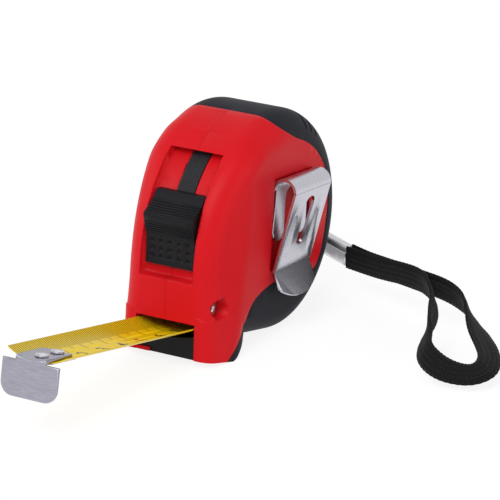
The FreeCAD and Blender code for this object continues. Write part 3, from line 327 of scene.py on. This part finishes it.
# ---------------------------------------------------------------- steel fittings of the strap
# A tube of nickel-plated steel, pressed flat on the braid, with its seam along one side, and
# the pin through its fork. A moulded tongue in the case's back seam carries the pin.
ROUGH_SPREAD = 0.03        # roughness either side of a steel's own
CREASE = 32.0              # degrees: edges sharper than this are kept crisp


def plated_steel(name, pale, dull, rough, grain):
    """Plated or bare drawn steel, with faint lines left by the drawing along its grain."""
    material, tree, out = new_material(name)
    place = node(tree, "ShaderNodeTexCoord")
    stretch = node(tree, "ShaderNodeMapping", {"Vector": place.outputs["Object"], "Scale": grain})
    lines = noise(tree, stretch.outputs[0], 1.0, 4.0)
    level = node(tree, "ShaderNodeMapRange",
                 {"Value": lines, "To Min": rough - ROUGH_SPREAD, "To Max": rough + ROUGH_SPREAD})
    streak = node(tree, "ShaderNodeMapRange", {"Value": lines, "From Min": 0.35, "From Max": 0.65})
    colour = mix(tree, "RGBA", streak.outputs[0], linear(dull), linear(pale))
    metal = node(tree, "ShaderNodeBsdfPrincipled",
                 {"Base Color": colour, "Metallic": 1.0, "Roughness": level.outputs[0],
                  "Normal": bumped(tree, lines, 0.05, 0.0001)})
    tree.links.new(metal.outputs[0], out.inputs["Surface"])
    return material


def settle(piece):
    """Turns a piece's modifiers into plain mesh."""
    settled = bpy.data.meshes.new_from_object(piece.evaluated_get(bpy.context.evaluated_depsgraph_get()))
    piece.modifiers.clear()
    piece.data = settled


def carried(name, material, cuts=()):
    """A smooth copy of a CAD piece, with its doubles merged and its sharp edges kept crisp.
    Each cut, a point and a direction, splits the faces so that soft shading stops there."""
    source = frame["nodes"][name]
    mesh = source.data.copy()
    work = bmesh.new()
    work.from_mesh(mesh)
    bmesh.ops.remove_doubles(work, verts=work.verts, dist=1e-6)
    bmesh.ops.dissolve_degenerate(work, edges=work.edges, dist=1e-7)
    for point, way in cuts:
        bmesh.ops.bisect_plane(work, geom=work.verts[:] + work.edges[:] + work.faces[:], dist=1e-7,
                               plane_co=point, plane_no=way)
    work.to_mesh(mesh)
    work.free()
    mesh.materials.clear()
    mesh.materials.append(material)
    mesh.shade_smooth()
    mesh.set_sharp_from_angle(angle=math.radians(CREASE))
    piece = bpy.data.objects.new(name + "_fine", mesh)
    bpy.context.scene.collection.objects.link(piece)
    even = piece.modifiers.new("even shading", "WEIGHTED_NORMAL")
    even.keep_sharp = True
    even.weight = 80
    settle(piece)
    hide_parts(name)
    return piece


record = frame["record"]
body_of = {name: body for body, names in record["behaviour"]["bodies"].items() for name in names}


def fit(name, material, cuts=()):
    """Carries a CAD piece over with a material, on its own body."""
    piece = carried(name, material, cuts)
    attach(piece, body_of[name])


bright_steel = plated_steel("nickel-plated steel, bright", "E4E3E6", "D2D1D6", 0.42, (300.0, 2500.0, 300.0))
for name in ("strap_ferrule", "strap_pin"):
    fit(name, bright_steel)


# ---------------------------------------------------------------- case halves
# Two mouldings of red ABS with a satin skin, joined at the middle by three screws. The seam
# between them is a fine dark line. Sizes are in metres.
REST_TILT = math.radians(12.578)      # the case leans back, and the blade with it
CHEEK_CUT_Y = 0.0022                  # soft shading of the cheek stops behind the front screw
SEAM_CORE = 0.00005                   # the seam is darkest to here on each side of the middle
SEAM_HALF = 0.00022                   # and gone here
SEAM_SHADE = 0.3                      # share of the dark colour at its middle


def satin_abs():
    """Moulded ABS, satin: fine spark-eroded grain, slightly mottled, with a fine dark seam."""
    material, tree, out = new_material("satin moulded ABS, red")
    place = node(tree, "ShaderNodeTexCoord")
    grain = noise(tree, place.outputs["Object"], 2600.0, 3.0)
    cloud = noise(tree, place.outputs["Object"], 60.0, 2.0)
    colour = mix(tree, "RGBA", cloud, linear("D4101B"), linear("DE1722"))
    split = node(tree, "ShaderNodeSeparateXYZ", {0: place.outputs["Object"]})
    off = maths(tree, "ABSOLUTE", split.outputs["X"])
    seam = node(tree, "ShaderNodeMapRange",
                {"Value": off, "From Min": SEAM_CORE, "From Max": SEAM_HALF,
                 "To Min": 1.0, "To Max": 0.0}, interpolation_type="SMOOTHSTEP")
    shade = maths(tree, "MULTIPLY", seam.outputs[0], SEAM_SHADE)
    sunk = maths(tree, "SUBTRACT", grain, seam.outputs[0])
    plastic = node(tree, "ShaderNodeBsdfPrincipled",
                   {"Base Color": mix(tree, "RGBA", shade, colour, linear("5A0A0E")),
                    "Roughness": 0.42, "IOR": 1.52, "Specular IOR Level": 0.12,
                    "Normal": bumped(tree, sunk, 0.25, 0.00005)})
    tree.links.new(plastic.outputs[0], out.inputs["Surface"])
    return material


red_abs = satin_abs()
case_back = Vector((0.0, math.cos(REST_TILT), -math.sin(REST_TILT)))
for name in ("right_shell", "left_shell"):
    fit(name, red_abs, cuts=[(case_back * CHEEK_CUT_Y, case_back)])


# ---------------------------------------------------------------- rubber grips
# A skin of black thermoplastic rubber moulded over the back, top and belly of each half. The
# same grained look, in other colours, serves the plastics of the next section.
def grained_moulding(name, dark, pale, grain_scale, rough):
    """Moulded rubber or plastic: matt, with a fine dull grain."""
    material, tree, out = new_material(name)
    place = node(tree, "ShaderNodeTexCoord")
    grain = noise(tree, place.outputs["Object"], grain_scale, 4.0)
    skin = node(tree, "ShaderNodeBsdfPrincipled",
                {"Base Color": mix(tree, "RGBA", grain, linear(dark), linear(pale)),
                 "Roughness": rough, "IOR": 1.5, "Specular IOR Level": 0.14,
                 "Normal": bumped(tree, grain, 0.35, 0.00006)})
    tree.links.new(skin.outputs[0], out.inputs["Surface"])
    return material


grip_rubber = grained_moulding("moulded thermoplastic rubber, black", "15161C", "23242D", 3000.0, 0.6)
for name in ("right_grip", "left_grip"):
    fit(name, grip_rubber)

# ---------------------------------------------------------------- lock, lip and inner plastics
# The thumb button, its strip and brake, and the lip under the blade are black mouldings; the
# spool, its cover and the liners are natural plastic, out of sight.
black_abs = grained_moulding("moulded ABS, black", "131316", "1C1C22", 2400.0, 0.42)
strip_grain = grained_moulding("grained polypropylene, black", "17181B", "3A3B3F", 2200.0, 0.6)
natural_plastic = grained_moulding("natural acetal, off-white", "D6D5CF", "DFDED9", 900.0, 0.4)
for name in ("mouth_lip", "lock_button", "brake_arm", "strap_lug"):
    fit(name, black_abs)
for name in ("lock_strip", "brake_pad"):
    fit(name, strip_grain)
for name in ("spool", "spool_cover", "spring_arbor", "right_liner", "left_liner"):
    fit(name, natural_plastic)

# ---------------------------------------------------------------- steel pieces
# Centre post, case screws and the plate under the blade's end are zinc-plated; the return
# spring is blued, the belt clip and the rivets nickel-plated, and the end hook brushed.
plain_steel = plated_steel("zinc-plated steel", "C6C6C9", "AEAEB2", 0.3, (300.0, 300.0, 2500.0))
for name in ("centre_post", "case_screws", "tip_plate"):
    fit(name, plain_steel)
blued_steel = plated_steel("blued spring steel", "62646E", "50525C", 0.35, (2500.0, 300.0, 300.0))
fit("power_spring", blued_steel)
clip_steel = plated_steel("nickel-plated spring steel", "CDCCD4", "C0BFC9", 0.28, (5000.0, 5000.0, 400.0))
fit("belt_clip", clip_steel)
hook_steel = plated_steel("brushed stainless steel", "B0AFBB", "9F9EAB", 0.36, (300.0, 4500.0, 4500.0))
fit("end_hook", hook_steel)
fit("hook_rivets", bright_steel)


# ---------------------------------------------------------------- blade
# One steel strip in baked yellow lacquer: a troughed stretch in the open, a lead inside and the
# coil. Its upper face carries a printed millimetre scale with plain numbers. Sizes are in mm.
HOOK_FACE_Y = -74.5                   # along the blade: the scale starts at the hook's inner face
BLADE_W = 19.0
TROUGH_R = 17.7                       # upper face of the trough
TROUGH_Z = 24.49                      # and the height of its centre
BLADE_END_Y = -60.6                   # ahead of this the blade is stiffened by the hook's rivets
TICKS = ((1.0, 5.2, 0.28), (5.0, 6.6, 0.28), (10.0, 8.6, 0.30))   # spacing, length and width
TICK_CORE = 0.2                       # share of a tick's half width that is fully inked
NUMBER_TOP = 9.6                      # from the blade's ticked edge
NUMBER_SIZE = 6.6
NUMBER_BOLD = 0.09                    # added all round its strokes
NUMBER_AFTER = 0.7                    # from its centimetre's tick
NUMBER_SLICES = 10                    # cuts that let it follow the trough
INK_LIFT = 0.02                       # above the lacquer


def along_blade(x, y, z):
    """From the blade's level frame in mm to the standing frame in metres."""
    return (x / 1000, (y * math.cos(REST_TILT) + z * math.sin(REST_TILT)) / 1000,
            (z * math.cos(REST_TILT) - y * math.sin(REST_TILT)) / 1000)


def lacquer(name, printed):
    """Baked yellow lacquer on spring steel, with or without the printed ticks."""
    material, tree, out = new_material(name)
    place = node(tree, "ShaderNodeTexCoord")
    mottle = noise(tree, place.outputs["Object"], 400.0, 3.0)
    yellow = mix(tree, "RGBA", mottle, linear("F2CF08"), linear("F6D810"))
    if printed:
        uv = node(tree, "ShaderNodeUVMap", uv_map="scale")
        split = node(tree, "ShaderNodeSeparateXYZ", {0: uv.outputs[0]})
        ink = 0.0
        for spacing, length, width in TICKS:
            even = maths(tree, "MODULO", split.outputs["X"], spacing)
            near = maths(tree, "MINIMUM", even, maths(tree, "SUBTRACT", spacing, even))
            line = node(tree, "ShaderNodeMapRange",
                        {"Value": near, "From Min": width * TICK_CORE, "From Max": width,
                         "To Min": 1.0, "To Max": 0.0}, interpolation_type="SMOOTHSTEP")
            short = maths(tree, "LESS_THAN", split.outputs["Y"], length)
            ink = maths(tree, "MAXIMUM", ink, maths(tree, "MULTIPLY", line.outputs[0], short))
        yellow = mix(tree, "RGBA", ink, yellow, linear("5E5010"))
    paint = node(tree, "ShaderNodeBsdfPrincipled",
                 {"Base Color": yellow, "Roughness": 0.34, "IOR": 1.5, "Specular IOR Level": 0.35})
    tree.links.new(paint.outputs[0], out.inputs["Surface"])
    return material


def print_ink(name, colour):
    """Printing ink under clear lacquer."""
    material, tree, out = new_material(name)
    ink = node(tree, "ShaderNodeBsdfPrincipled", {"Base Color": linear(colour), "Roughness": 0.4})
    tree.links.new(ink.outputs[0], out.inputs["Surface"])
    return material


def printed_number(text, at, ink):
    """A number lying in the trough, its foot towards the unticked edge, as a mesh object."""
    curve = bpy.data.curves.new("number " + text, "FONT")
    curve.body = text
    curve.size = NUMBER_SIZE
    curve.resolution_u = 3
    curve.offset = NUMBER_BOLD
    holder = bpy.data.objects.new("number " + text, curve)
    bpy.context.scene.collection.objects.link(holder)
    flat = bpy.data.meshes.new_from_object(holder.evaluated_get(bpy.context.evaluated_depsgraph_get()))
    bpy.data.objects.remove(holder)
    work = bmesh.new()
    work.from_mesh(flat)
    tall = max(v.co.y for v in work.verts)
    for step in range(1, NUMBER_SLICES):
        bmesh.ops.bisect_plane(work, geom=work.verts[:] + work.edges[:] + work.faces[:], dist=1e-4,
                               plane_co=(0, tall * step / NUMBER_SLICES, 0), plane_no=(0, 1, 0))
    bmesh.ops.triangulate(work, faces=work.faces)
    for v in work.verts:
        x = NUMBER_TOP - BLADE_W / 2 + tall - v.co.y
        z = TROUGH_Z - math.sqrt(TROUGH_R ** 2 - x * x) + INK_LIFT
        v.co = along_blade(x, HOOK_FACE_Y + at + v.co.x, z)
    work.to_mesh(flat)
    work.free()
    flat.materials.append(ink)
    number = bpy.data.objects.new("number " + text, flat)
    bpy.context.scene.collection.objects.link(number)
    return number


def joined(objects):
    """Joins plain mesh objects into the first."""
    with bpy.context.temp_override(active_object=objects[0], selected_editable_objects=objects,
                                   selected_objects=objects, object=objects[0]):
        bpy.ops.object.join()
    return objects[0]


def parted(piece, name, point, way):
    """Moves the faces ahead of a plane into an object of their own, and closes both ends."""
    ahead = bpy.data.objects.new(name, piece.data.copy())
    bpy.context.scene.collection.objects.link(ahead)
    for obj, keep_ahead in ((piece, False), (ahead, True)):
        work = bmesh.new()
        work.from_mesh(obj.data)
        lost = [f for f in work.faces if ((f.calc_center_median() - point).dot(way) > 0) != keep_ahead]
        bmesh.ops.delete(work, geom=lost, context="FACES")
        bmesh.ops.holes_fill(work, edges=[e for e in work.edges if e.is_boundary], sides=0)
        work.to_mesh(obj.data)
        work.free()
    return ahead


plain_yellow = lacquer("baked yellow lacquer", False)
for name in ("blade_lead", "blade_coil"):
    fit(name, plain_yellow)

blade_way = Vector((0.0, -math.cos(REST_TILT), math.sin(REST_TILT)))
blade_cut = Vector(along_blade(0.0, BLADE_END_Y, 0.0))
printed_yellow = lacquer("baked yellow lacquer, printed scale", True)
strip = carried("blade_strip", printed_yellow, cuts=[(blade_cut, blade_way)])
scale_map = strip.data.uv_layers.new(name="scale")
for face in strip.data.polygons:
    for index in face.loop_indices:
        x, y, z = (c * 1000 for c in strip.data.vertices[strip.data.loops[index].vertex_index].co)
        run = y * math.cos(REST_TILT) - z * math.sin(REST_TILT) - HOOK_FACE_Y
        scale_map.data[index].uv = (run, x + BLADE_W / 2 if face.normal.z > 0.5 else BLADE_W)
black_ink = print_ink("printing ink, black", "1C1A18")
red_ink = print_ink("printing ink, red", "C4302A")
blade_end = parted(strip, "blade_end", blade_cut, blade_way)
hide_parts("blade_strip")
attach(blade_end, "blade")
numbers = [printed_number(str(n), 10.0 * n + NUMBER_AFTER, red_ink if n % 5 == 0 else black_ink)
           for n in range(2, 8)]
strip = joined([strip] + numbers)
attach(strip, "case")
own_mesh(strip)
